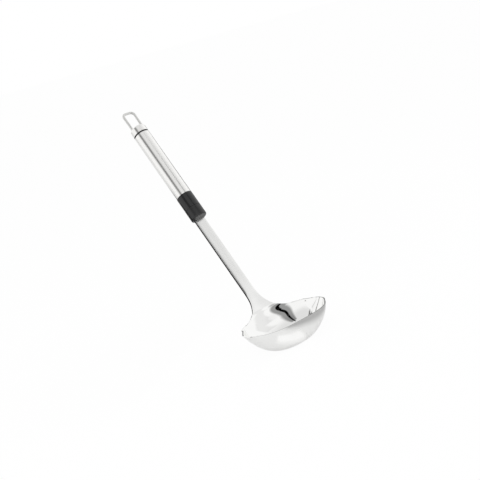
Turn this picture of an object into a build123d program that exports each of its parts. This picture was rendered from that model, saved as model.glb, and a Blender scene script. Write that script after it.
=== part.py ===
from build123d import *
from math import cos, sin, pi, radians, copysign
import os

# A soup ladle: an oval bowl with a pouring lip at each end, pressed in one
# piece with its stem, and a round tubular handle with a fixed hanging loop.
# All lengths are in millimetres. The rim is level, Z is up, the bowl is long
# along X, and the handle rises towards +Y. The origin is the middle of the
# bowl's flat base.

# Bowl
bowl_depth = 26.8
wall = 1.3
rim_half_length = 46.0
rim_half_width = 27.5
rim_shift = 7.0
lip_reach = 5.0
base_half_length = 17.0
base_half_width = 7.5
profile_power = 1.8
rim_power = 2.8
base_power = 2.0
lip_power = 30
lip_fade_power = 1.5
lip_start_share = 0.55
outline_count = 48
level_shares = (0.0, 0.03, 0.1, 0.22, 0.38, 0.56, 0.74, 0.88, 1.0)

# Handle line: its slope in degrees, and where it passes the level of the rim
handle_angle = 54.2
handle_foot = 37.1

# Stem and neck, their offsets measured square to the handle line
stem_width = 12.6
stem_thickness = 2.5
stem_back = 3.1
neck_length = 34.0
neck_root_half_width = 25.5
neck_scoop = 5.0
neck_margin = 3.0
neck_clearance = 8.0

# Front ferrule, with stations measured along the handle line
ferrule_start = 125.0
ferrule_length = 30.0
ferrule_radius = 9.1
ferrule_nose = 12.4
ferrule_edge_round = 1.3
seam_width = 0.4
seam_depth = 0.25
spigot_length = 10.0

# Handle tube, seal ring, end cap and rear plug
tube_radius = 9.0
tube_wall = 1.0
tube_length = 86.4
ring_radius = 8.8
ring_thickness = 1.4
cap_length = 8.2
cap_edge_round = 1.6
cap_recess_depth = 3.5
plug_length = 12.0
plug_neck_radius = 6.0

# Tang, core and pin inside the tube: the core grips the end of the tang, and
# the pin stands back from that end
tang_width = 10.0
tang_grip = 25.0
shoulder_depth = 6.0
core_end_wall = 5.0
pin_radius = 1.5
pin_length = 15.0
pin_inset = 10.0

# Hanging loop
loop_wire_radius = 1.4
loop_half_width = 6.6
loop_top_half_width = 7.0
loop_lead = 0.9
loop_height = 21.6
loop_bend_radius = 4.0
loop_hole_depth = 4.5

tube_bore = tube_radius - tube_wall
tube_start = ferrule_start + ferrule_length
core_start = tube_start + spigot_length
tang_end = core_start + tang_grip
core_end = tang_end + core_end_wall
pin_station = tang_end - pin_inset
ring_start = tube_start + tube_length
cap_start = ring_start + ring_thickness
cap_end = cap_start + cap_length
stem_middle = stem_thickness / 2 - stem_back

handle_foot_point = (0, handle_foot, bowl_depth)
handle_rise = (0, cos(radians(handle_angle)), sin(radians(handle_angle)))
handle_front = (0, -sin(radians(handle_angle)), cos(radians(handle_angle)))
handle_axis = Axis(handle_foot_point, handle_rise)


def on_handle(station):
    """The point of the handle line at this station."""
    return (
        0,
        handle_foot + station * handle_rise[1],
        bowl_depth + station * handle_rise[2],
    )


def handle_plane(station):
    """The plane square to the handle line at this station, its Y to the front."""
    return Plane(origin=on_handle(station), x_dir=(-1, 0, 0), z_dir=handle_rise)


def bowl_level(share, inset):
    """Height and outline points of the bowl at this share of its depth."""
    swell = (1 - (1 - share) ** profile_power) ** (1 / profile_power)
    half_length = base_half_length + (rim_half_length - base_half_length) * swell
    half_width = base_half_width + (rim_half_width - base_half_width) * swell
    power = 2 / (base_power + (rim_power - base_power) * share)
    lip_share = max(0, (share - lip_start_share) / (1 - lip_start_share))
    lip = lip_reach * lip_share**lip_fade_power
    points = []
    for index in range(outline_count):
        turn = 2 * pi * index / outline_count
        across, along = cos(turn), sin(turn)
        x = (half_length - inset) * abs(across) ** power + lip * abs(across) ** lip_power
        y = (half_width - inset) * abs(along) ** power
        points.append((copysign(x, across), rim_shift * swell + copysign(y, along)))
    return inset + (bowl_depth - inset) * share, points


# Sections of the neck from the stem down to the back wall of the bowl. Every
# row gives the station as a share of the neck, the half-width as a share of
# the flare, the offsets of the edges and of the middle as shares of the
# scoop, and how much of the stem's extra thickness is left.
neck_shares = (
    (1.0, 0.0, 0.0, 0.0, 1.0),
    (0.93, 0.0, 0.0, 0.0, 1.0),
    (0.86, 0.002, 0.005, 0.003, 0.99),
    (0.78, 0.008, 0.02, 0.012, 0.96),
    (0.68, 0.025, 0.055, 0.04, 0.9),
    (0.58, 0.055, 0.1, 0.085, 0.8),
    (0.46, 0.115, 0.165, 0.16, 0.62),
    (0.35, 0.2, 0.24, 0.25, 0.45),
    (0.26, 0.29, 0.31, 0.31, 0.34),
    (0.18, 0.39, 0.39, 0.36, 0.25),
    (0.05, 0.65, 0.7, 0.43, 0.12),
    (-0.09, 0.875, 1.1, 0.46, 0.08),
    (-0.26, 0.96, 1.5, 0.75, 0.08),
    (-0.44, 0.99, 1.9, 1.35, 0.08),
)
back_bow = wall / 50
scoop_lift = wall / 4

with BuildPart() as bowl_and_stem:
    # Outside of the bowl
    for share in level_shares:
        height, points = bowl_level(share, 0)
        with BuildSketch(Plane.XY.offset(height)):
            with BuildLine():
                Spline(*points, periodic=True)
            make_face()
    loft()
    # Outside of the neck
    for station_share, flare_share, edge_share, middle_share, thick_share in neck_shares:
        half = stem_width / 2 + (neck_root_half_width - stem_width / 2) * flare_share
        front = stem_thickness - stem_back + neck_scoop * edge_share
        side = front - wall - (stem_thickness - wall) * thick_share
        back = neck_scoop * middle_share - stem_back - back_bow
        with BuildSketch(handle_plane(neck_length * station_share)):
            with BuildLine():
                ThreePointArc((-half, side), (0, back), (half, side))
                Polyline((half, side), (half, front), (-half, front), (-half, side))
            make_face()
    loft()
    # Inside of the bowl
    for share in level_shares:
        height, points = bowl_level(share, wall)
        with BuildSketch(Plane.XY.offset(height)):
            with BuildLine():
                Spline(*points, periodic=True)
            make_face()
    loft(mode=Mode.SUBTRACT)
    # Scoop down the front of the neck, clear of the stem at its upper end
    for station_share, flare_share, edge_share, middle_share, thick_share in neck_shares:
        half = stem_width / 2 + (neck_root_half_width - stem_width / 2) * flare_share
        front = stem_thickness - stem_back + neck_scoop * edge_share
        thick = wall + (stem_thickness - wall) * thick_share
        middle = neck_scoop * middle_share - stem_back + thick
        if flare_share == 0:
            front = front + 2 * scoop_lift
            middle = middle + scoop_lift
        reach = half + neck_margin
        edge = middle + (front - middle) * (reach / half) ** 2
        top = edge + neck_clearance
        with BuildSketch(handle_plane(neck_length * station_share)):
            with BuildLine():
                ThreePointArc((-reach, edge), (0, middle), (reach, edge))
                Polyline((reach, edge), (reach, top), (-reach, top), (-reach, edge))
            make_face()
    loft(mode=Mode.SUBTRACT)
    # Stem, its two shoulders inside the ferrule, and the narrower tang
    with BuildSketch(handle_plane(neck_length)):
        with Locations((0, stem_middle)):
            Rectangle(stem_width, stem_thickness)
    extrude(amount=ferrule_start + shoulder_depth - neck_length)
    with BuildSketch(handle_plane(ferrule_start + shoulder_depth)):
        with Locations((0, stem_middle)):
            Rectangle(tang_width, stem_thickness)
    extrude(amount=tang_end - ferrule_start - shoulder_depth)
    # Hole for the cross pin
    with BuildSketch(Plane(on_handle(pin_station), z_dir=handle_front)):
        Circle(pin_radius)
    extrude(amount=tube_radius, both=True, mode=Mode.SUBTRACT)
bowl_and_stem.part.label = "bowl_and_stem"

with BuildPart() as front_ferrule:
    with BuildSketch(handle_plane(ferrule_start)):
        Circle(ferrule_radius)
    extrude(amount=ferrule_length)
    nose_edge = front_ferrule.faces().sort_by(handle_axis)[0].edges()
    fillet(nose_edge, radius=ferrule_edge_round)
    # Shallow seam round the ferrule
    with BuildSketch(handle_plane(ferrule_start + ferrule_nose)):
        Circle(ferrule_radius + seam_depth)
        Circle(ferrule_radius - seam_depth, mode=Mode.SUBTRACT)
    extrude(amount=seam_width, mode=Mode.SUBTRACT)
    # Spigot that fills the end of the tube
    with BuildSketch(handle_plane(tube_start)):
        Circle(tube_bore)
    extrude(amount=spigot_length)
    # Slot for the stem, and the narrower slot for the tang behind it
    with BuildSketch(handle_plane(ferrule_start)):
        with Locations((0, stem_middle)):
            Rectangle(stem_width, stem_thickness)
    extrude(amount=shoulder_depth, mode=Mode.SUBTRACT)
    with BuildSketch(handle_plane(ferrule_start)):
        with Locations((0, stem_middle)):
            Rectangle(tang_width, stem_thickness)
    extrude(amount=ferrule_length + spigot_length, mode=Mode.SUBTRACT)
front_ferrule.part.label = "front_ferrule"

with BuildPart() as tang_core:
    with BuildSketch(handle_plane(core_start)):
        Circle(tube_bore)
    extrude(amount=core_end - core_start)
    # Blind slot that the tang fills
    with BuildSketch(handle_plane(core_start)):
        with Locations((0, stem_middle)):
            Rectangle(tang_width, stem_thickness)
    extrude(amount=tang_grip, mode=Mode.SUBTRACT)
    # Cross hole for the pin
    with BuildSketch(Plane(on_handle(pin_station), z_dir=handle_front)):
        Circle(pin_radius)
    extrude(amount=tube_radius, both=True, mode=Mode.SUBTRACT)
tang_core.part.label = "tang_core"

with BuildPart() as tang_pin:
    with BuildSketch(Plane(on_handle(pin_station), z_dir=handle_front)):
        Circle(pin_radius)
    extrude(amount=pin_length / 2, both=True)
tang_pin.part.label = "tang_pin"

with BuildPart() as handle_tube:
    with BuildSketch(handle_plane(tube_start)):
        Circle(tube_radius)
        Circle(tube_bore, mode=Mode.SUBTRACT)
    extrude(amount=tube_length)
handle_tube.part.label = "handle_tube"

with BuildPart() as seal_ring:
    with BuildSketch(handle_plane(ring_start)):
        Circle(ring_radius)
        Circle(plug_neck_radius, mode=Mode.SUBTRACT)
    extrude(amount=ring_thickness)
seal_ring.part.label = "seal_ring"

with BuildPart() as rear_plug:
    with BuildSketch(handle_plane(ring_start - plug_length)):
        Circle(tube_bore)
    extrude(amount=plug_length)
    with BuildSketch(handle_plane(ring_start)):
        Circle(plug_neck_radius)
    extrude(amount=ring_thickness + cap_recess_depth)
rear_plug.part.label = "rear_plug"

with BuildPart() as end_cap:
    with BuildSketch(handle_plane(cap_start)):
        Circle(tube_radius)
    extrude(amount=cap_length)
    end_edge = end_cap.faces().sort_by(handle_axis)[-1].edges()
    fillet(end_edge, radius=cap_edge_round)
    # Recess for the plug's neck
    with BuildSketch(handle_plane(cap_start)):
        Circle(plug_neck_radius)
    extrude(amount=cap_recess_depth, mode=Mode.SUBTRACT)
    # Two blind holes for the loop's legs
    with BuildSketch(handle_plane(cap_end - loop_hole_depth)):
        with Locations((-loop_half_width, loop_lead), (loop_half_width, loop_lead)):
            Circle(loop_wire_radius)
    extrude(amount=loop_hole_depth, mode=Mode.SUBTRACT)
end_cap.part.label = "end_cap"

with BuildPart() as hanging_loop:
    loop_plane = Plane(on_handle(cap_end), x_dir=(1, 0, 0), z_dir=handle_front)
    with BuildLine(loop_plane.offset(loop_lead)):
        loop_path = FilletPolyline(
            (-loop_half_width, -loop_hole_depth),
            (-loop_half_width, 0),
            (-loop_top_half_width, loop_height),
            (loop_top_half_width, loop_height),
            (loop_half_width, 0),
            (loop_half_width, -loop_hole_depth),
            radius=loop_bend_radius,
        )
    with BuildSketch(Plane(loop_path @ 0, z_dir=loop_path % 0)):
        Circle(loop_wire_radius)
    sweep()
hanging_loop.part.label = "hanging_loop"

os.makedirs("parts", exist_ok=True)
export_step(bowl_and_stem.part, "parts/bowl_and_stem.step")
export_step(front_ferrule.part, "parts/front_ferrule.step")
export_step(tang_core.part, "parts/tang_core.step")
export_step(tang_pin.part, "parts/tang_pin.step")
export_step(handle_tube.part, "parts/handle_tube.step")
export_step(seal_ring.part, "parts/seal_ring.step")
export_step(rear_plug.part, "parts/rear_plug.step")
export_step(end_cap.part, "parts/end_cap.step")
export_step(hanging_loop.part, "parts/hanging_loop.step")
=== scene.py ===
# %% [markdown]
# # Soup ladle
# A soup ladle is three things in a row: a pressed steel bowl that runs on into
# a flat strip stem, a dark collar, and a round satin tube with a wire loop to
# hang it by. The solid pieces come from the CAD model, and nothing here moves
# them. Blender adds what CAD leaves plain: the soft flow of
# the sheet from bowl to stem, the finishes, the light and the camera.

import math
import bmesh
import bpy
import numpy as np
from mathutils import Matrix, Vector


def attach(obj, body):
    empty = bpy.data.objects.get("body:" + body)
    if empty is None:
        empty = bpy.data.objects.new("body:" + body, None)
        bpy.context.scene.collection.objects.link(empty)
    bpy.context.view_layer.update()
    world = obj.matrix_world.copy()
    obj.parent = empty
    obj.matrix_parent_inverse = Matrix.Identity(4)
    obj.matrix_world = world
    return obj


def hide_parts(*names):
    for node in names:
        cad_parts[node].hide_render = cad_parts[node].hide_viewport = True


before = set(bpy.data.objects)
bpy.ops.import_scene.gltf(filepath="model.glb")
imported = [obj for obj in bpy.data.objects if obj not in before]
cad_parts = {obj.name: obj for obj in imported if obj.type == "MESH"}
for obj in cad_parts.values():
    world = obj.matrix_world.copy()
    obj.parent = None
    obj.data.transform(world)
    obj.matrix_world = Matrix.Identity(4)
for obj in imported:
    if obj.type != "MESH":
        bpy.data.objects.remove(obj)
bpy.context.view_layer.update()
print("CAD nodes:", ", ".join(sorted(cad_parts)))

# %% [markdown]
# ## Where the handle lies
# The stem, the collar, the tube and the loop all sit on one straight line that
# crosses the level of the rim behind the bowl and rises at 54 degrees. A place
# on it is told by its station, the distance along the line, and by how far it
# stands to the side and to the front. Sizes are written in millimetres, as on
# a drawing, and become metres only where a mesh is made.

# %% The handle line
mm = 0.001
rim_level = 26.8
foot_y = 37.1
slope = math.radians(54.2)
rise_y, rise_z = math.cos(slope), math.sin(slope)


def on_handle(across, station, front):
    """Points given by side offset, station and front offset, in millimetres."""
    across, station, front = np.broadcast_arrays(across, station, front)
    return np.stack(
        [
            across,
            foot_y + station * rise_y - front * rise_z,
            rim_level + station * rise_z + front * rise_y,
        ],
        axis=-1,
    ).astype(float)


print("the handle line rises", round(math.degrees(slope), 1), "degrees")

# %% [markdown]
# ## The camera first
# The photograph is a small product on a wide white field, seen from the left
# and a little above. The place and the lens were found by fitting the outline
# of the rim, the stem and the tube, so that the same outline falls on the same
# pixels. The camera comes before the pieces, because every later choice is
# judged through it.

# %% Camera
camera_data = bpy.data.cameras.new("photo_camera")
camera = bpy.data.objects.new("photo_camera", camera_data)
bpy.context.scene.collection.objects.link(camera)
camera_data.sensor_width = 36.0
camera_data.lens = 66.48
camera_data.clip_start, camera_data.clip_end = 0.01, 100.0
right = Vector((0.767307, -0.586414, -0.259536))
up = Vector((0.346668, 0.038825, 0.937184))
back = right.cross(up)
stand = Matrix((right, up, back)).transposed().to_4x4()
stand.translation = (-0.481197, -0.674600, 0.313751)
camera.matrix_world = stand
bpy.context.scene.camera = camera
print("camera", [round(c, 3) for c in stand.translation], "lens", camera_data.lens)

# %% [markdown]
# ## The bowl, the neck and the stem
# The real piece is pressed from one sheet of stainless steel: an oval bowl
# with a pouring lip at each end, a back wall that runs up into a dished neck,
# and a thick flat stem. Polished steel shows every flat spot in its
# reflections, so box modelling with a few faces would betray itself. Here the
# outer face of the sheet is a fine grid of points on smooth formulas, and a
# second grid one wall inside it closes the sheet.
#
# Two forms meet at the back: the wall of the bowl and the trough of the neck.
# A plain maximum of the two would leave a crease, so a rounded maximum joins
# them, as the press does.

# %% A smooth curve through chosen values
def through(knots, values):
    """A natural cubic curve through the given values, as a function."""
    k, v = np.asarray(knots, float), np.asarray(values, float)
    step = np.diff(k)
    size = len(k)
    m = np.eye(size)
    right_side = np.zeros(size)
    for i in range(1, size - 1):
        m[i, i - 1 : i + 2] = step[i - 1], 2 * (step[i - 1] + step[i]), step[i]
        right_side[i] = 6 * ((v[i + 1] - v[i]) / step[i] - (v[i] - v[i - 1]) / step[i - 1])
    bend = np.linalg.solve(m, right_side)

    def curve(at):
        at = np.clip(np.asarray(at, float), k[0], k[-1])
        i = np.clip(np.searchsorted(k, at) - 1, 0, size - 2)
        a, b, h = k[i + 1] - at, at - k[i], step[i]
        return (
            (bend[i] * a**3 + bend[i + 1] * b**3) / (6 * h)
            + (v[i] / h - bend[i] * h / 6) * a
            + (v[i + 1] / h - bend[i + 1] * h / 6) * b
        )

    return curve


# %% The wall of the bowl
wall = 1.3
base_half, rim_half = (17.0, 7.5), (46.0, 27.5)
rim_shift, lip_reach, lip_from = 7.0, 5.0, 0.55
bulge = 1.8


def level(share):
    """Half length, half width, shift, squareness and lip at a share of the depth."""
    share = np.clip(share, 0, 1)
    swell = (1 - (1 - share) ** bulge) ** (1 / bulge)
    length = base_half[0] + (rim_half[0] - base_half[0]) * swell
    width = base_half[1] + (rim_half[1] - base_half[1]) * swell
    lip = lip_reach * np.clip((share - lip_from) / (1 - lip_from), 0, 1) ** 1.5
    return length, width, rim_shift * swell, 2 + 0.8 * share, lip


def bowl_wall(turn, share):
    """Outer face of the bowl at a turn round it and a share of its depth."""
    length, width, shift, square, lip = level(share)
    c, s = np.cos(turn), np.sin(turn)
    reach = (abs(c) ** square + abs(s) ** square) ** (-1 / square)
    x, y = reach * c, reach * s
    spout = lip * np.sign(x) * abs(x) ** (15 * square)
    return np.stack(
        np.broadcast_arrays(length * x + spout, shift + width * y, rim_level * share), -1
    )


def back_wall(x, z):
    """How far back the bowl's outer face is at a side offset and a height."""
    length, width, shift, square, _ = level(z / rim_level)
    return shift + width * (1 - np.clip(abs(x) / length, 0, 1) ** square) ** (1 / square)


print("rim from", bowl_wall(np.pi, 1.0).round(1), "to", bowl_wall(0.0, 1.0).round(1))

# %% [markdown]
# ### The trough of the neck
# Behind the rim the sheet narrows from the width of the bowl to the width of
# the stem, and its two edges rise above its middle, which makes a trough. The
# edges fall as the sheet thickens, until the strip is flat. Four curves over
# the station say this: how far the edges flare, how high they and the middle
# stand, and how much of the way from wall to strip the thickness has gone.
# The values follow the outline of the neck in the photograph.

# %% The trough of the neck
neck_length, stem_half, stem_thick, stem_back = 34.0, 6.3, 2.5, 3.1
stations = neck_length * np.array(
    [-0.44, -0.26, -0.09, 0.05, 0.18, 0.26, 0.35, 0.46, 0.58, 0.68, 0.78, 0.86, 0.93, 1.0]
)
flare = through(stations, 19.2 * np.array(
    [0.99, 0.96, 0.875, 0.65, 0.39, 0.29, 0.2, 0.115, 0.055, 0.025, 0.008, 0.002, 0.0, 0.0]
))
edge_lift = through(stations, 5.0 * np.array(
    [1.9, 1.5, 1.1, 0.7, 0.39, 0.31, 0.24, 0.165, 0.1, 0.055, 0.02, 0.005, 0.0, 0.0]
))
middle_lift = through(stations, 5.0 * np.array(
    [1.35, 0.75, 0.46, 0.43, 0.36, 0.31, 0.25, 0.16, 0.085, 0.04, 0.012, 0.003, 0.0, 0.0]
))
thick_share = through(stations, [
    0.08, 0.08, 0.08, 0.12, 0.25, 0.34, 0.45, 0.62, 0.8, 0.9, 0.96, 0.99, 1.0, 1.0
])


def neck_section(station):
    """Half width, front offset of the outer face at edge and middle, thickness."""
    thick = wall + (stem_thick - wall) * thick_share(station)
    half = stem_half + flare(station)
    edge = stem_thick - stem_back + edge_lift(station) - thick
    return half, edge, middle_lift(station) - stem_back, thick


def trough(u, softness=0.9):
    """Share of the edge's lift across the neck: a soft V, round in its middle."""
    return (np.sqrt(u**2 + softness**2) - softness) / (np.sqrt(1 + softness**2) - softness)


settling_steps = 40


def neck_back(x, z):
    """How far back the neck's outer face is at a side offset and a height."""
    station = (z - rim_level) / rise_z
    for _ in range(settling_steps):
        half, edge, middle, _ = neck_section(station)
        front = middle + (edge - middle) * trough(x / half)
        station = 0.5 * station + 0.5 * (z - rim_level - rise_y * front) / rise_z
    return foot_y + station * rise_y - front * rise_z


def sheet_back(x, z, soft=3.0):
    """The outer face where bowl and neck meet: a rounded maximum of the two."""
    a, b = back_wall(x, np.minimum(z, rim_level)), neck_back(x, z)
    return np.maximum(a, b) + soft * np.log1p(np.exp(-abs(a - b) / soft))


print("half width of the neck at its root", round(float(neck_section(-3.0)[0]), 1))

# %% [markdown]
# ### A grid that runs from the bowl into the stem
# The faces of the grid have to flow from the bowl into the neck without a
# seam, or the mirror would show it. So the part of the rim that runs on into
# the neck gets columns at even steps across, which go on up the stem, and the
# free part of the rim gets columns at even steps of its length.

# %% Columns round the rim
join_x = 30.0
back_count, free_count = 49, 151
fine = np.linspace(0, 2 * np.pi, 8001)
rim = bowl_wall(fine, 1.0)
back_half = (fine > 0) & (fine < np.pi)


def turn_at(x):
    """The turn at which the back of the rim is at a side offset."""
    return np.interp(-x, -rim[back_half, 0], fine[back_half])


across_columns = np.linspace(1, -1, back_count)
back_turns = turn_at(join_x * across_columns)
along = np.concatenate([[0], np.cumsum(np.linalg.norm(np.diff(rim, axis=0), axis=1))])
from_left = np.interp(back_turns[-1], fine, along)
to_right = np.interp(back_turns[0], fine, along)
free_run = np.linspace(from_left, to_right + along[-1], free_count + 2)[1:-1]
free_turns = np.interp(free_run % along[-1], along, fine)
turns = np.concatenate([back_turns, free_turns])
columns, back_columns = len(turns), len(back_turns)
print(columns, "columns,", back_columns, "of them run on into the neck")

# %% [markdown]
# ### The rows of the grid
# Inside the flat base the rows are small copies of its outline. Up the wall
# they stand closer where it bends most. The top row dips behind the rim, where
# the bowl runs on into the neck instead of ending in an edge. At the back of
# the bowl every point moves out to the rounded maximum of wall and trough.

# %% Rows from the middle of the base to the rim
dip = 8.5
back_from, back_reach = 15.0, 42.0
base_rings, wall_rings = 6, 49
across = np.concatenate([across_columns, np.ones(len(free_turns))])
top_share = 1 - dip / rim_level * (1 - across**2) ** 2
rows = []
for inner in np.linspace(0, 1, base_rings + 2)[1:-1]:
    ring = bowl_wall(turns, 0.0)
    rows.append(ring * [inner, inner, 0])
for swing in np.linspace(0, np.pi / 2, wall_rings):
    share = (1 - np.cos(swing) ** (2 / bulge)) * top_share
    ring = bowl_wall(turns, share)
    behind = ring[:, 1] > back_from
    ring[behind, 1] = np.where(
        abs(ring[behind, 0]) < back_reach,
        sheet_back(ring[behind, 0], ring[behind, 2]),
        ring[behind, 1],
    )
    rows.append(ring)
bowl_rows = len(rows)
print(bowl_rows, "rows in the bowl, rim at", round(rows[-1][-1, 2], 1), "mm")

# %% [markdown]
# The outline of the neck leaves the rim sideways and bends up into the stem, so
# its first rows follow a curve that has the right direction at both ends. After
# it the rows are plain cross sections at their stations, up to the shoulder.
# There the strip steps in to the narrow tang, which the handle hides.

# %% Rows up the neck and the stem
join, meet = np.array([join_x, rim_level]), 4.0
half, edge, middle, _ = neck_section(meet)
ahead = 0.01
half_on, edge_on = neck_section(meet + ahead)[:2]
end = np.array([half, rim_level + meet * rise_z + edge * rise_y])
end_on = np.array([half_on, rim_level + (meet + ahead) * rise_z + edge_on * rise_y])
pull = np.linalg.norm(end - join)
start_way = np.array([-pull, 0.0])
end_way = (end_on - end) / np.linalg.norm(end_on - end) * pull
first = rows[-1][:back_columns]
low_middle = first[back_columns // 2, 2]
high_middle = rim_level + meet * rise_z + middle * rise_y
neck_rows, neck_thick = [], []
u = across_columns
edge_roll, roll_from, roll_over = 0.35, -10.0, 40.0
curve_rows, neck_steps, stem_steps = 16, 24, 13


def rolled(thick, station):
    """Thickness across a row: polishing rolls the long front edges off."""
    share = np.clip((station - roll_from) / roll_over, 0, 1)
    return thick - edge_roll * share * u**4


for t in np.linspace(0, 1, curve_rows + 1)[1:]:
    side = (
        (2 * t**3 - 3 * t**2 + 1) * join + (t**3 - 2 * t**2 + t) * start_way
        + (3 * t**2 - 2 * t**3) * end + (t**3 - t**2) * end_way
    )
    mid = low_middle + (high_middle - low_middle) * t
    left = (1 - t) ** 2
    x = u * side[0] + (first[:, 0] - join_x * u) * left
    z = side[1] * u**2 + mid * (1 - u**2)
    z = z + (first[:, 2] - rim_level * u**2 - low_middle * (1 - u**2)) * left
    neck_rows.append(np.stack([x, sheet_back(x, z), z], -1))
    neck_thick.append(rolled(wall + (neck_section(meet)[3] - wall) * t, meet * t))
shoulder, tang_end, tang_half = 131.0, 190.0, 5.0
neck_stations = np.linspace(meet, neck_length, neck_steps + 1)[1:]
stem_stations = np.linspace(neck_length, shoulder, stem_steps + 1)[1:]
for station in np.concatenate([neck_stations, stem_stations]):
    half, edge, middle, thick = neck_section(station)
    front = middle + (edge - middle) * trough(u)
    neck_rows.append(on_handle(half * u, station, front))
    neck_thick.append(rolled(float(thick), station))
for station in (shoulder + 0.3, tang_end):
    neck_rows.append(on_handle(tang_half * u, station, -stem_back))
    neck_thick.append(rolled(stem_thick, station))
print(len(neck_rows), "rows in the neck, stem and hidden tang")

# %% [markdown]
# ### From one face to a sheet
# Sheet metal has two faces and an edge. The inner face is the outer one moved
# along its normals by the thickness, which is the wall in the bowl and grows to
# the strip in the stem. Along the free rim it is brought back to the level of
# the rim, because the real edge was ground flat. The faces between the two
# close the sheet, and a small Bevel takes the sharpness off the edges.

# %% Outer face and inner face
def grid_faces(number):
    """Quads between neighbouring rows and columns, wound to face outwards."""
    faces = []
    for r in range(bowl_rows - 1):
        for c in range(columns):
            d = (c + 1) % columns
            faces.append((number[r][c], number[r + 1][c], number[r + 1][d], number[r][d]))
    for r in range(bowl_rows - 1, bowl_rows + len(neck_rows) - 1):
        for c in range(back_columns - 1):
            faces.append((number[r][c], number[r + 1][c], number[r + 1][c + 1], number[r][c + 1]))
    return faces


all_rows = rows + neck_rows
thickness = np.concatenate([np.full(1 + bowl_rows * columns, wall)] + neck_thick)
outer = np.concatenate([[[0.0, 0.0, 0.0]]] + all_rows)
number, count = [], 1
for row in all_rows:
    number.append(list(range(count, count + len(row))))
    count += len(row)
innermost = number[0]
fan = [(0, innermost[c], innermost[(c + 1) % columns]) for c in range(columns)]
faces = grid_faces(number) + fan
sheet = bpy.data.meshes.new("sheet")
sheet.from_pydata(outer.tolist(), [], faces)
sheet.update()
normal = np.array([v.normal[:] for v in sheet.vertices])
if normal[0, 2] > 0:
    faces = [f[::-1] for f in faces]
    normal = -normal
inner = outer - normal * thickness[:, None]
rim_free = number[bowl_rows - 1][back_columns:]
inner[rim_free, 2] = rim_level
inner[:, 2] = np.maximum(inner[:, 2], wall)
bpy.data.meshes.remove(sheet)
print("outer face", len(faces), "faces; the wall is", wall, "mm, the stem", stem_thick, "mm")

# %% One closed mesh
offset = len(outer)
loop = [number[bowl_rows - 1][c] for c in range(back_columns, columns)]
right_edge = [row[0] for row in number[bowl_rows - 1 :]]
left_edge = [row[back_columns - 1] for row in number[bowl_rows - 1 :]]
tip = number[-1]
edge_loop = loop + right_edge + tip[1:-1] + left_edge[::-1]
closing = []
for i, a in enumerate(edge_loop):
    b = edge_loop[(i + 1) % len(edge_loop)]
    closing.append((a, b, b + offset, a + offset))
inside = [tuple(v + offset for v in f[::-1]) for f in faces]
mesh = bpy.data.meshes.new("pressed_sheet")
mesh.from_pydata((np.concatenate([outer, inner]) * mm).tolist(), [], faces + inside + closing)
mesh.validate()
pressed = bpy.data.objects.new("pressed_bowl_and_stem", mesh)
bpy.context.scene.collection.objects.link(pressed)
bm = bmesh.new()
bm.from_mesh(mesh)
bmesh.ops.recalc_face_normals(bm, faces=bm.faces)
open_edges = sum(1 for e in bm.edges if len(e.link_faces) != 2)
print("volume in cm3", round(bm.calc_volume() * 1e6, 2), "open edges", open_edges)
bm.to_mesh(mesh)
bm.free()
mesh.shade_smooth()
rounding = pressed.modifiers.new("edge_round", "BEVEL")
rounding.width = 0.35 * mm
rounding.segments = 3
rounding.limit_method = "ANGLE"
rounding.angle_limit = math.radians(50)
rounding.harden_normals = True
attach(pressed, "root")
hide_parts("bowl_and_stem")

# %% [markdown]
# ## The tube of the handle
# A drawn steel tube, 18 mm across with a 1 mm wall, cut square at both ends.
# A cylinder primitive would have no wall and no settings to come back to. The
# tube follows a rule, a circle carried along a straight line, so Geometry Nodes
# make it from named lengths, and Solidify gives the wall. The same small
# helpers build the wire loop after it.

# %% Helpers for trees of geometry nodes
def tree_with(name, floats, ints=()):
    """An empty geometry tree with named inputs, and its input and output nodes."""
    tree = bpy.data.node_groups.new(name, "GeometryNodeTree")
    face = tree.interface
    face.new_socket("Geometry", in_out="INPUT", socket_type="NodeSocketGeometry")
    for label in floats:
        face.new_socket(label, in_out="INPUT", socket_type="NodeSocketFloat")
    for label in ints:
        face.new_socket(label, in_out="INPUT", socket_type="NodeSocketInt")
    face.new_socket("Finish", in_out="INPUT", socket_type="NodeSocketMaterial")
    face.new_socket("Geometry", in_out="OUTPUT", socket_type="NodeSocketGeometry")
    return tree, tree.nodes.new("NodeGroupInput"), tree.nodes.new("NodeGroupOutput")


def put(tree, kind, inputs=None, **settings):
    """Adds a node, sets it up, and links or fills the inputs that are named."""
    made = tree.nodes.new(kind)
    for key, value in settings.items():
        setattr(made, key, value)
    for key, value in (inputs or {}).items():
        if isinstance(value, bpy.types.NodeSocket):
            tree.links.new(value, made.inputs[key])
        else:
            made.inputs[key].default_value = value
    return made


def close_tree(tree, group_in, group_out, shape):
    """Lays the shape on the handle line and ends the tree as a real mesh."""
    laid = put(tree, "GeometryNodeTransform", {
        "Geometry": shape,
        "Translation": (0, foot_y * mm, rim_level * mm),
        "Rotation": (slope, 0, 0),
    })
    real = put(tree, "GeometryNodeRealizeInstances", {"Geometry": laid.outputs[0]})
    soft = put(tree, "GeometryNodeSetShadeSmooth", {"Geometry": real.outputs[0]})
    done = put(tree, "GeometryNodeSetMaterial", {
        "Geometry": soft.outputs[0], "Material": group_in.outputs["Finish"]})
    tree.links.new(done.outputs[0], group_out.inputs[0])


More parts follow.
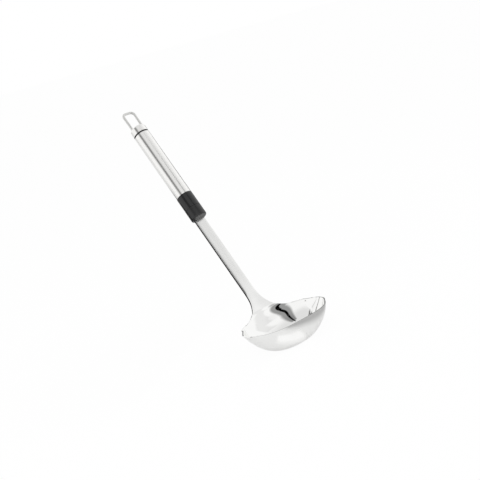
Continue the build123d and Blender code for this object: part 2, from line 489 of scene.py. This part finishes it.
def grown(name, tree, values, material):
    """Runs a tree on an empty mesh and keeps the result as a plain mesh piece."""
    seed = bpy.data.objects.new(name + "_tree", bpy.data.meshes.new(name + "_seed"))
    bpy.context.scene.collection.objects.link(seed)
    modifier = seed.modifiers.new("tree", "NODES")
    modifier.node_group = tree
    for item in tree.interface.items_tree:
        if item.item_type == "SOCKET" and item.in_out == "INPUT" and item.name != "Geometry":
            modifier[item.identifier] = material if item.name == "Finish" else values[item.name]
    bpy.context.view_layer.update()
    evaluated = seed.evaluated_get(bpy.context.evaluated_depsgraph_get())
    made = bpy.data.meshes.new_from_object(evaluated)
    bpy.data.objects.remove(seed)
    piece = bpy.data.objects.new(name, made)
    bpy.context.scene.collection.objects.link(piece)
    made.materials.clear()
    made.materials.append(material)
    print(name, "has", len(made.polygons), "faces")
    return piece


# %% [markdown]
# ## Finishes
# Several kinds of surface meet here, and none is one flat colour. The bowl is
# polished; the stem has a satin grain along it; the tube is brushed round its
# girth; the cap was turned on a lathe; the wire was drawn; the collar and the
# ring are moulded. Photographs wrapped on the pieces would blur near the
# camera, so the patterns are noise that is stretched the way the tool ran.
# Every pattern reads object coordinates turned into the handle's own frame, so
# one set of numbers serves all of them: X across, Y the station, Z the front.

# %% Helpers for materials
def shade(tree, kind, inputs=None, output=0, **settings):
    """Adds a shader node and returns one of its outputs."""
    return put(tree, "ShaderNode" + kind, inputs, **settings).outputs[output]


def new_finish(name, metallic=1.0):
    """A material, its tree and its main shader."""
    material = bpy.data.materials.new(name)
    material.use_nodes = True
    shader = material.node_tree.nodes["Principled BSDF"]
    shader.inputs["Metallic"].default_value = metallic
    return material, material.node_tree, shader


def handle_place(tree):
    """Object coordinates turned so that Y runs up the handle and Z faces the front."""
    return shade(tree, "Mapping", {
        "Vector": shade(tree, "TexCoord", output=3),
        "Rotation": (-slope, 0, 0),
        "Location": (
            0,
            -(foot_y * rise_y + rim_level * rise_z) * mm,
            (foot_y * rise_z - rim_level * rise_y) * mm,
        ),
    })


def noise(tree, vector, scale, detail=2.0, rough=0.5):
    """Noise whose cells per metre can differ along the three directions."""
    stretched = shade(tree, "Mapping", {"Vector": vector, "Scale": scale})
    return shade(tree, "TexNoise", {
        "Vector": stretched, "Scale": 1.0, "Detail": detail, "Roughness": rough})


def ramp(tree, value, low, high, to_low=0.0, to_high=1.0):
    """Carries a value from one range to another, with soft ends."""
    return shade(tree, "MapRange", {
        "Value": value, "From Min": low, "From Max": high, "To Min": to_low, "To Max": to_high,
    }, interpolation_type="SMOOTHSTEP")


def math_node(tree, operation, a, b=0.0):
    """One step of arithmetic on values of the tree."""
    return shade(tree, "Math", {0: a, 1: b}, operation=operation)


def plus(tree, a, b):
    """The sum of two values of the tree."""
    return math_node(tree, "ADD", a, b)


def times(tree, a, b):
    """The product of two values of the tree."""
    return math_node(tree, "MULTIPLY", a, b)


def tinted(tree, shader, share, first, second, painted_shade=None):
    """Base colour that goes from one colour to another with a share, and a painted shade in near
    black on top.
    """
    made = put(tree, "ShaderNodeMix", {"Factor": share}, data_type="RGBA")
    made.inputs[6].default_value = (*first, 1)
    made.inputs[7].default_value = (*second, 1)
    color = made.outputs[2]
    # painted shade: a near-black colour laid over the base colour where the mask is high
    if painted_shade is not None:
        over = put(tree, "ShaderNodeMix", {"Factor": painted_shade, 6: color}, data_type="RGBA")
        over.inputs[7].default_value = (0.03, 0.03, 0.03, 1)
        color = over.outputs[2]
    tree.links.new(color, shader.inputs["Base Color"])


def dulled(tree, shader, rough):
    """Roughness that follows a value of the tree."""
    tree.links.new(rough, shader.inputs["Roughness"])


def relief(tree, shader, height, depth):
    """Small relief of the surface, its depth in metres."""
    bump = shade(tree, "Bump", {"Height": height, "Distance": depth})
    tree.links.new(bump, shader.inputs["Normal"])


# %% [markdown]
# ### Polished bowl, satin stem
# The press leaves one sheet, and the polishing wheel gives it two finishes: a
# mirror in the bowl, and a duller grain along the stem. Two materials would
# need a border that the real piece doesn't have, so one material changes its
# roughness, its grey and its relief over the neck. Faint marks run round the
# bowl, long grain and bands run along the stem, and a few fine scratches lie
# askew from years in a drawer.

# %% Polished bowl, satin stem
polished, tree, shader = new_finish("polished_steel")
place = handle_place(tree)
station_at = shade(tree, "SeparateXYZ", {0: place}, output=1)
on_stem = ramp(tree, station_at, 2 * mm, 55 * mm)
smears = noise(tree, place, (45, 30, 45), 3)
long_grain = noise(tree, place, (4200, 55, 4200), 3, 0.6)
round_marks = noise(tree, shade(tree, "TexCoord", output=3), (170, 170, 3400), 3, 0.6)
askew = shade(tree, "Mapping", {"Vector": place, "Rotation": (0.3, 0.2, 0.7)})
scratches = ramp(tree, noise(tree, askew, (1500, 25, 1500), 2), 0.70, 0.78)
bowl_rough, stem_rough, smear_rough, scratch_rough = 0.03, 0.2, 0.02, 0.06
rough = ramp(tree, station_at, -5 * mm, 60 * mm, bowl_rough, stem_rough)
rough = plus(tree, rough, ramp(tree, smears, 0.35, 0.7, 0.0, smear_rough))
dulled(tree, shader, plus(tree, rough, times(tree, scratches, scratch_rough)))
long_bands = ramp(tree, noise(tree, place, (150, 9, 150), 2), 0.35, 0.65)
stem_grey, band_grey, smear_grey = 0.55, 0.25, 0.2
greyer = times(tree, on_stem, plus(tree, times(tree, long_bands, band_grey), stem_grey))
share = plus(tree, greyer, ramp(tree, smears, 0.3, 0.75, 0.0, smear_grey))
tinted(tree, shader, share, (0.945, 0.945, 0.935), (0.80, 0.80, 0.79))
height = shade(tree, "Mix", {
    "Factor": on_stem, "A": times(tree, round_marks, 0.12), "B": times(tree, long_grain, 0.6)})
relief(tree, shader, height, 6e-6)
mesh.materials.append(polished)
print("the bowl's roughness is", bowl_rough, "and the stem's", stem_rough)

# %% [markdown]
# ### Brushed tube
# The tube turned against a belt, so its scratches run round it, and a line of
# light runs along it. The noise is fine along the tube and coarse round it. A
# hand leaves some stretches smoother. The tube's last 0.3 to 0.6 mm before the
# black ring is painted almost black, a painted shade of the gap at that joint,
# which makes the joint look darker than the ring alone.

# %% Satin tube, brushed round its girth
tube_start, tube_length = 155.0, 86.4
tube_end = (tube_start + tube_length) * mm
# painted shade: the tube's last 0.3 to 0.6 mm before the ring is darkened towards near black
painted_shade_from, painted_shade_full = tube_end - 0.6 * mm, tube_end - 0.3 * mm
satin, tree, shader = new_finish("satin_steel")
place = handle_place(tree)
girth_grain = noise(tree, place, (90, 4800, 90), 4, 0.65)
bands = noise(tree, place, (8, 700, 8), 2)
handled = noise(tree, place, (60, 25, 60), 3)
brushed = ramp(tree, girth_grain, 0.3, 0.7, 0.15, 0.23)
dulled(tree, shader, plus(tree, brushed, ramp(tree, handled, 0.35, 0.7, 0.0, 0.04)))
station_at = shade(tree, "SeparateXYZ", {0: place}, output=1)
# painted shade of the gap where the tube meets the ring
joint_painted_shade = ramp(tree, station_at, painted_shade_from, painted_shade_full)
tinted(
    tree, shader, ramp(tree, bands, 0.3, 0.7),
    (0.945, 0.94, 0.925), (0.905, 0.90, 0.885), joint_painted_shade,
)
relief(tree, shader, girth_grain, 8e-6)
print("the tube ends at station", round(tube_end / mm, 1))

# %% [markdown]
# ### Turned cap
# A lathe cuts rings round the axis, on the side and on the end alike. So the
# noise is read at the distance from the axis and at the station, and never at
# the angle: what is the same all the way round must not change with it.

# %% Turned cap
turned, tree, shader = new_finish("turned_steel")
apart = put(tree, "ShaderNodeSeparateXYZ", {0: handle_place(tree)})
squares = [math_node(tree, "POWER", apart.outputs[side], 2.0) for side in (0, 2)]
radius_at = math_node(tree, "SQRT", plus(tree, *squares))
lathe_place = shade(tree, "CombineXYZ", {0: radius_at, 1: apart.outputs[1]})
rings = noise(tree, lathe_place, (5200, 5200, 1), 3, 0.6)
dulled(tree, shader, ramp(tree, rings, 0.3, 0.7, 0.14, 0.24))
wide_rings = ramp(tree, noise(tree, lathe_place, (900, 900, 1)), 0.3, 0.7)
tinted(tree, shader, wide_rings, (0.94, 0.935, 0.92), (0.90, 0.895, 0.88))
relief(tree, shader, rings, 7e-6)

# %% [markdown]
# ### Drawn wire
# The die that draws a wire scores it along its length, and the lines follow
# every bend. Object coordinates can't follow a bend, so this finish reads two
# attributes that the loop's own tree will store: the length along the wire, and
# the direction from its middle.

# %% Drawn wire
drawn, tree, shader = new_finish("drawn_steel")
along_wire = shade(tree, "Attribute", output=2, attribute_name="along")
round_wire = shade(tree, "Attribute", output=1, attribute_name="round")
length_way = shade(tree, "CombineXYZ", {2: along_wire})
wire_place = shade(tree, "VectorMath", {0: round_wire, 1: length_way}, operation="ADD")
lines = noise(tree, wire_place, (9, 9, 60), 3, 0.6)
dull = noise(tree, handle_place(tree), (180, 180, 180), 2)
dulled(tree, shader, ramp(tree, dull, 0.3, 0.7, 0.2, 0.33))
tinted(tree, shader, ramp(tree, lines, 0.3, 0.7), (0.80, 0.80, 0.785), (0.70, 0.70, 0.685))
relief(tree, shader, lines, 9e-6)

# %% [markdown]
# ### Moulded collar
# Dark plastic with a fine grain of pores. Below the seam the mould was duller
# than above it, and both ends are rubbed a little paler by hands and by the
# sink. Masks on the station put each of these in its place.

# %% Moulded collar
nose, seam, collar_top = 125.0 * mm, 137.4 * mm, 155.0 * mm
dark, tree, shader = new_finish("collar_plastic", metallic=0.0)
place = handle_place(tree)
station_at = shade(tree, "SeparateXYZ", {0: place}, output=1)
pores = noise(tree, place, (2600, 2600, 2600), 2, 0.6)
flow = noise(tree, place, (220, 90, 220), 3)
below_seam = ramp(tree, station_at, seam - 0.2 * mm, seam + 0.2 * mm, 1.0, 0.0)
at_nose = ramp(tree, station_at, nose, nose + 1.8 * mm, 1.0, 0.0)
at_top = ramp(tree, station_at, collar_top - 0.6 * mm, collar_top)
nose_rub = times(tree, at_nose, ramp(tree, flow, 0.4, 0.7))
upper_rub = times(tree, at_top, ramp(tree, flow, 0.45, 0.7))
rubbed = math_node(tree, "MAXIMUM", nose_rub, upper_rub)
share = plus(tree, times(tree, rubbed, 0.7), ramp(tree, flow, 0.3, 0.8, 0.0, 0.2))
tinted(tree, shader, share, (0.0095, 0.0095, 0.0105), (0.03, 0.03, 0.031))
pored = ramp(tree, pores, 0.3, 0.7, 0.14, 0.24)
dulled(tree, shader, plus(tree, times(tree, below_seam, 0.12), pored))
relief(tree, shader, pores, 1.2e-5)

# %% [markdown]
# ### Ring, core, plug and pin
# The black ring is soft rubber with a dusty bloom. The core, the plug and the
# pin are inside the handle and are never seen, but a piece that is taken out
# of the file has to look right on its own. Then each node of the CAD model
# gets its finish in its own slot, and its shape stays as it is.

# %% Rubber ring
rubber, tree, shader = new_finish("ring_rubber", metallic=0.0)
bloom = noise(tree, handle_place(tree), (900, 900, 900), 3)
tinted(tree, shader, ramp(tree, bloom, 0.3, 0.7), (0.010, 0.010, 0.010), (0.018, 0.018, 0.018))
dulled(tree, shader, ramp(tree, bloom, 0.3, 0.7, 0.55, 0.72))
relief(tree, shader, bloom, 1.5e-5)

# %% Core and plug
core, tree, shader = new_finish("core_plastic", metallic=0.0)
swirl = noise(tree, handle_place(tree), (160, 60, 160), 4)
tinted(tree, shader, ramp(tree, swirl, 0.3, 0.7), (0.235, 0.235, 0.24), (0.275, 0.275, 0.27))
dulled(tree, shader, ramp(tree, swirl, 0.3, 0.7, 0.42, 0.55))
relief(tree, shader, noise(tree, handle_place(tree), (1800, 1800, 1800)), 2e-5)

# %% Pin
pin_steel, tree, shader = new_finish("pin_steel")
marks = noise(tree, handle_place(tree), (300, 300, 5000), 3)
tinted(tree, shader, ramp(tree, marks, 0.3, 0.7), (0.62, 0.62, 0.61), (0.54, 0.54, 0.53))
dulled(tree, shader, ramp(tree, marks, 0.3, 0.7, 0.25, 0.4))
relief(tree, shader, marks, 8e-6)

# %% Finishes on the CAD nodes
looks = {
    "front_ferrule": dark, "seal_ring": rubber, "end_cap": turned,
    "tang_core": core, "rear_plug": core, "tang_pin": pin_steel,
}
for node, material in looks.items():
    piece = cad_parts[node]
    piece.data.materials.clear()
    piece.data.materials.append(material)
print("finishes:", ", ".join(m.name for m in bpy.data.materials))

# %% [markdown]
# ## Growing the tube
# The tree draws a line along the handle, cuts it into steps, and carries a
# circle along it. A swept skin has no thickness, so Solidify turns it into a
# wall, and a small Bevel takes the edge off both ends, as a file does.

# %% The drawn tube
tree, group_in, group_out = tree_with("drawn_tube", ("Start", "Length", "Radius"), ("Sides", "Steps"))
given = group_in.outputs
start_point = put(tree, "ShaderNodeCombineXYZ", {"Y": given["Start"]})
end_at = put(tree, "ShaderNodeMath", {0: given["Start"], 1: given["Length"]}, operation="ADD")
end_point = put(tree, "ShaderNodeCombineXYZ", {"Y": end_at.outputs[0]})
line = put(tree, "GeometryNodeCurvePrimitiveLine", {
    "Start": start_point.outputs[0], "End": end_point.outputs[0]})
steps = put(tree, "GeometryNodeResampleCurve", {"Curve": line.outputs[0], "Count": given["Steps"]})
circle = put(tree, "GeometryNodeCurvePrimitiveCircle", {
    "Resolution": given["Sides"], "Radius": given["Radius"]})
skin = put(tree, "GeometryNodeCurveToMesh", {
    "Curve": steps.outputs[0], "Profile Curve": circle.outputs[0]})
close_tree(tree, group_in, group_out, skin.outputs[0])
tube_radius, tube_wall = 9.0, 1.0
tube = grown("drawn_tube", tree, {
    "Start": tube_start * mm, "Length": tube_length * mm, "Radius": tube_radius * mm,
    "Sides": 160, "Steps": 25,
}, satin)

# %% Wall and ends of the tube
bm = bmesh.new()
bm.from_mesh(tube.data)
bmesh.ops.recalc_face_normals(bm, faces=bm.faces)
middle_point = Vector(on_handle(0, tube_start + tube_length / 2, 0).tolist()) * mm
away = bm.faces[0].calc_center_median() - middle_point
if bm.faces[0].normal.dot(away) < 0:
    bmesh.ops.reverse_faces(bm, faces=bm.faces)
bm.to_mesh(tube.data)
bm.free()
inside_wall = tube.modifiers.new("wall", "SOLIDIFY")
inside_wall.thickness = tube_wall * mm
inside_wall.offset = -1.0
ends = tube.modifiers.new("deburred_ends", "BEVEL")
ends.width = 0.15 * mm
ends.segments = 2
ends.limit_method = "ANGLE"
ends.angle_limit = math.radians(50)
ends.harden_normals = True
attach(tube, "root")
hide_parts("handle_tube")
print("the tube is", 2 * tube_radius, "mm across, with a wall of", tube_wall, "mm")

# %% [markdown]
# ## The hanging loop
# One piece of 2.8 mm wire, bent at two corners, with both ends let into the
# cap. It follows a path, so Geometry Nodes build it: six points from the named
# sizes, a fillet at the corners, and a round profile carried along the curve.
# The tree also stores how far along the wire and on which side each point is,
# so that the drawing lines of the finish follow the bends.

# %% The path of the wire
loop_sizes = (
    "Base Station", "Leg Depth", "Base Half", "Top Half", "Height", "Lead", "Bend", "Wire Radius")
tree, group_in, group_out = tree_with("bent_wire", loop_sizes, ("Sides",))
given = group_in.outputs


def reckon(operation, a, b):
    """One step of arithmetic on the sizes of the loop."""
    return put(tree, "ShaderNodeMath", {0: a, 1: b}, operation=operation).outputs[0]


foot_at = reckon("SUBTRACT", given["Base Station"], given["Leg Depth"])
top_at = reckon("ADD", given["Base Station"], given["Height"])
left_base = reckon("MULTIPLY", given["Base Half"], -1.0)
left_top = reckon("MULTIPLY", given["Top Half"], -1.0)
corners = [
    (left_base, foot_at), (left_base, given["Base Station"]), (left_top, top_at),
    (given["Top Half"], top_at), (given["Base Half"], given["Base Station"]),
    (given["Base Half"], foot_at),
]
which = put(tree, "GeometryNodeInputIndex").outputs[0]
choice = put(tree, "GeometryNodeIndexSwitch", {"Index": which}, data_type="VECTOR")
for _ in range(len(corners) - 2):
    choice.index_switch_items.new()
for slot_index, (side, height) in enumerate(corners):
    corner = put(tree, "ShaderNodeCombineXYZ", {"X": side, "Y": height, "Z": given["Lead"]})
    tree.links.new(corner.outputs[0], choice.inputs[slot_index + 1])
points = put(tree, "GeometryNodeMeshLine", {"Count": len(corners)})
moved = put(tree, "GeometryNodeSetPosition", {
    "Geometry": points.outputs[0], "Position": choice.outputs[0]})
path = put(tree, "GeometryNodeMeshToCurve", {"Mesh": moved.outputs[0]})
bent = put(tree, "GeometryNodeFilletCurve", {
    "Curve": path.outputs[0], "Count": 14, "Radius": given["Bend"], "Limit Radius": True,
}, mode="POLY")
fine_path = put(tree, "GeometryNodeResampleCurve", {
    "Curve": bent.outputs[0], "Length": 0.5 * mm}, mode="LENGTH")

# %% The skin of the wire
so_far = put(tree, "GeometryNodeSplineParameter")
marked = put(tree, "GeometryNodeStoreNamedAttribute", {
    "Geometry": fine_path.outputs[0], "Name": "along", "Value": so_far.outputs["Length"],
}, data_type="FLOAT", domain="POINT")
ring_profile = put(tree, "GeometryNodeCurvePrimitiveCircle", {
    "Resolution": given["Sides"], "Radius": given["Wire Radius"]})
profile_place = put(tree, "GeometryNodeInputPosition").outputs[0]
unit = put(tree, "ShaderNodeVectorMath", {0: profile_place}, operation="NORMALIZE")
marked_profile = put(tree, "GeometryNodeStoreNamedAttribute", {
    "Geometry": ring_profile.outputs[0], "Name": "round", "Value": unit.outputs[0],
}, data_type="FLOAT_VECTOR", domain="POINT")
wire_skin = put(tree, "GeometryNodeCurveToMesh", {
    "Curve": marked.outputs[0], "Profile Curve": marked_profile.outputs[0], "Fill Caps": True})
close_tree(tree, group_in, group_out, wire_skin.outputs[0])

# %% The wire loop
cap_end = 251.0
wire = grown("bent_wire_loop", tree, {
    "Base Station": cap_end * mm, "Leg Depth": 4.5 * mm, "Base Half": 6.6 * mm,
    "Top Half": 7.0 * mm, "Height": 21.6 * mm, "Lead": 0.9 * mm, "Bend": 4.0 * mm,
    "Wire Radius": 1.4 * mm, "Sides": 28,
}, drawn)
bm = bmesh.new()
bm.from_mesh(wire.data)
bmesh.ops.remove_doubles(bm, verts=bm.verts, dist=1e-6)
bmesh.ops.recalc_face_normals(bm, faces=bm.faces)
print("wire volume in mm3", round(bm.calc_volume() * 1e9, 1))
bm.to_mesh(wire.data)
bm.free()
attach(wire, "root")
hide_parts("hanging_loop")

# %% [markdown]
# ## The floor
# The photograph is a cut-out on white. The floor is plain and pale. To the
# camera it mostly glows, just over strength 1, so that with the light on the
# rest of it the open floor comes out white. That rest is real paper and keeps
# the object's shadow. In reflections less of it glows, so that the outside of
# the bowl, which looks down at the floor, has the light grey of the photograph.
# A floor that was only painted white would need more light than the metal can
# take. It is wide enough that its far edge is near the horizon.

# %% Floor
reach, just_below = 30, -1e-4
floor_mesh = bpy.data.meshes.new("floor")
floor_corners = [
    (side * reach, depth * reach, just_below)
    for side, depth in ((-1, -1), (1, -1), (1, 1), (-1, 1))
]
floor_mesh.from_pydata(floor_corners, [], [(0, 1, 2, 3)])
floor = bpy.data.objects.new("floor", floor_mesh)
bpy.context.scene.collection.objects.link(floor)
paper = bpy.data.materials.new("white_floor")
paper.use_nodes = True
tree = paper.node_tree
tree.nodes.clear()
camera_glow, mirror_glow, clear_glow, glow_strength = 0.94, 0.42, 0.9, 1.013
ray = put(tree, "ShaderNodeLightPath").outputs
glow = shade(tree, "Emission", {"Strength": glow_strength})
plain = shade(tree, "BsdfPrincipled", {"Base Color": (0.9, 0.9, 0.9, 1), "Roughness": 0.5})
to_camera = times(tree, ray["Is Camera Ray"], camera_glow)
in_mirrors = times(tree, ray["Is Glossy Ray"], mirror_glow)
through_glass = times(tree, ray["Is Transmission Ray"], clear_glow)
seen_share = math_node(tree, "MAXIMUM", plus(tree, to_camera, in_mirrors), through_glass)
matt = shade(tree, "MixShader", {0: seen_share, 1: plain, 2: glow})
put(tree, "ShaderNodeOutputMaterial", {0: matt})
floor_mesh.materials.append(paper)
print("the floor glows at", glow_strength, "over", camera_glow, "of what the camera sees")

# %% [markdown]
# ## The room
# A white world stands for a white studio. The camera sees it at strength 1,
# which is white. Reflections see the same white near the horizon and a slightly
# darker ceiling, which models the upper side of the tube. As light on the
# pieces it is weaker, so that the lamps still give them a direction.

# %% World
world = bpy.data.worlds.new("white_room")
bpy.context.scene.world = world
world.use_nodes = True
tree = world.node_tree
backdrop = tree.nodes["Background"]
backdrop.inputs["Color"].default_value = (1, 1, 1, 1)
ceiling_tone, room_light = 0.8, 0.6
ray = put(tree, "ShaderNodeLightPath").outputs
height_seen = shade(tree, "SeparateXYZ", {0: shade(tree, "TexCoord", output=0)}, output=2)
ceiling = ramp(tree, height_seen, 0.55, 0.85, 1.0, ceiling_tone)
reflected = times(tree, ray["Is Glossy Ray"], ceiling)
direct = math_node(tree, "MAXIMUM", ray["Is Camera Ray"], ray["Is Transmission Ray"])
seen = math_node(tree, "MAXIMUM", reflected, direct)
strength = math_node(tree, "MAXIMUM", seen, room_light)
tree.links.new(strength, backdrop.inputs["Strength"])
print("the ceiling reflects at", ceiling_tone, "and the room lights at", room_light)

# %% [markdown]
# ## The lamps
# Two large square lamps, one from the left and a weaker one from the right,
# give the dark collar and the floor their soft light. The metal doesn't see
# them, because a square of light in a spoon is a photographer's mistake.

# %% Lamps
def softbox(name, place, size, power):
    """A square soft lamp that lights the pieces but isn't seen in the metal."""
    aim = Vector((0, 0.06, 0.1))
    lamp = bpy.data.lights.new(name, "AREA")
    lamp.size = size
    lamp.energy = power
    holder = bpy.data.objects.new(name, lamp)
    bpy.context.scene.collection.objects.link(holder)
    holder.location = place
    holder.rotation_euler = (aim - Vector(place)).to_track_quat("-Z", "Y").to_euler()
    holder.visible_glossy = False
    print(name, "is", size, "m wide and gives", power, "W")


softbox("key_softbox", (-0.7, -0.3, 1.1), 0.9, 4.0)
softbox("fill_softbox", (0.9, -0.5, 0.8), 0.8, 2.0)

# %% [markdown]
# ## Dark cards
# Polished steel has no colour of its own: it shows the room. A product
# photographer gives such metal its form with dark cards that stand outside the
# picture. Painting the dark streak on the metal would be wrong from every
# other side, so the cards are real planes. To place one, follow a ray from the
# camera to the dark spot on the metal and mirror it there: the card stands
# where that ray goes. The cards are soft at their edges, and only reflections
# see them, so they cast no shadow and never hide the object.

# %% A soft card
def card(name, centre, along, sideways, width, length, tone, soft=0.5, power=1.0):
    """A soft card, in millimetres: its centre, its long way and its other way."""
    centre, along, sideways = Vector(centre), Vector(along).normalized(), Vector(sideways)
    sideways = (sideways - along * sideways.dot(along)).normalized()
    ends = ((-1, -1), (1, -1), (1, 1), (-1, 1))
    board = bpy.data.meshes.new(name)
    corners = [centre + sideways * (a * width / 2) + along * (b * length / 2) for a, b in ends]
    board.from_pydata([corner * mm for corner in corners], [], [(0, 1, 2, 3)])
    spread = board.uv_layers.new(name="spread")
    for loop_index, end in enumerate(ends):
        spread.data[loop_index].uv = end
    piece = bpy.data.objects.new(name, board)
    bpy.context.scene.collection.objects.link(piece)
    material = bpy.data.materials.new(name)
    material.use_nodes = True
    tree = material.node_tree
    tree.nodes.clear()
    uv = put(tree, "ShaderNodeSeparateXYZ", {0: shade(tree, "UVMap", uv_map="spread")})
    end_soft = 0.3
    masks = []
    for axis, softness in ((0, soft), (1, end_soft)):
        off = math_node(tree, "ABSOLUTE", uv.outputs[axis])
        masks.append(ramp(tree, off, 1.0 - softness, 1.0, 1.0, 0.0))
    mask = times(tree, times(tree, *masks), power)
    face = shade(tree, "Emission", {"Color": (1, 1, 1, 1), "Strength": tone})
    clear = shade(tree, "BsdfTransparent")
    mixed = shade(tree, "MixShader", {0: mask, 1: clear, 2: face})
    put(tree, "ShaderNodeOutputMaterial", {0: mixed})
    board.materials.append(material)
    piece.visible_camera = piece.visible_diffuse = piece.visible_shadow = False
    piece.visible_transmission = piece.visible_volume_scatter = False


# %% [markdown]
# Each card has its own work. The tube card makes the dark line on the tube. The
# low left card draws the dark edge of stem and neck, and the low right card the
# thin line at the rim. The front pair makes the black streak in the bowl with
# its grey sides, and the side card the grey patch beside it. Of the two on the
# floor, one darkens the outside of the bowl under its far end, and the white
# one lightens it near the base. The tone of a card is its grey, and its power
# is how much of what lies behind it is covered.

# %% The cards
upright = (0, 0, 1)
handle_way = Vector((0, rise_y, rise_z))
aside = Vector((151, 38, -126)).cross(handle_way)
card("tube_card", (-151, 116, 315), handle_way, aside, 170, 250, 0.03, 0.95, 0.84)
card("low_left_card", (-98, 233, 43), (-0.53, 0.85, 0.36), (0.85, 0.53, 0), 330, 340, 0.0, 0.3)
card("low_right_card", (424, 578, 189), upright, (0.7, -0.7, 0), 700, 260, 0.1, 0.5, 0.8)
streak_lean = (0.058, 0, 1)
card("front_grey_card", (145, -400, 560), streak_lean, (1, 0, 0), 258, 1100, 0.02, 0.5, 0.68)
card("front_black_card", (150, -390, 660), streak_lean, (1, 0, 0), 46, 1280, 0.0, 0.3)
card("side_grey_card", (452, -333, 388), upright, (0.643, 0.766, 0), 240, 318, 0.02, 0.5, 0.14)
card("floor_grey_card", (66, -42, 0.5), (0.75, 0.65, 0), (0.65, -0.75, 0), 90, 170, 0.02, 0.8, 0.45)
card("floor_white_card", (-12, -27, 0.8), (1, 0.1, 0), (0, 1, 0), 34, 46, 1.0, 0.8)

# %% [markdown]
# ## The view
# The colours go to the screen as they are, with the Standard view.

# %% The view
bpy.context.scene.view_settings.view_transform = "Standard"
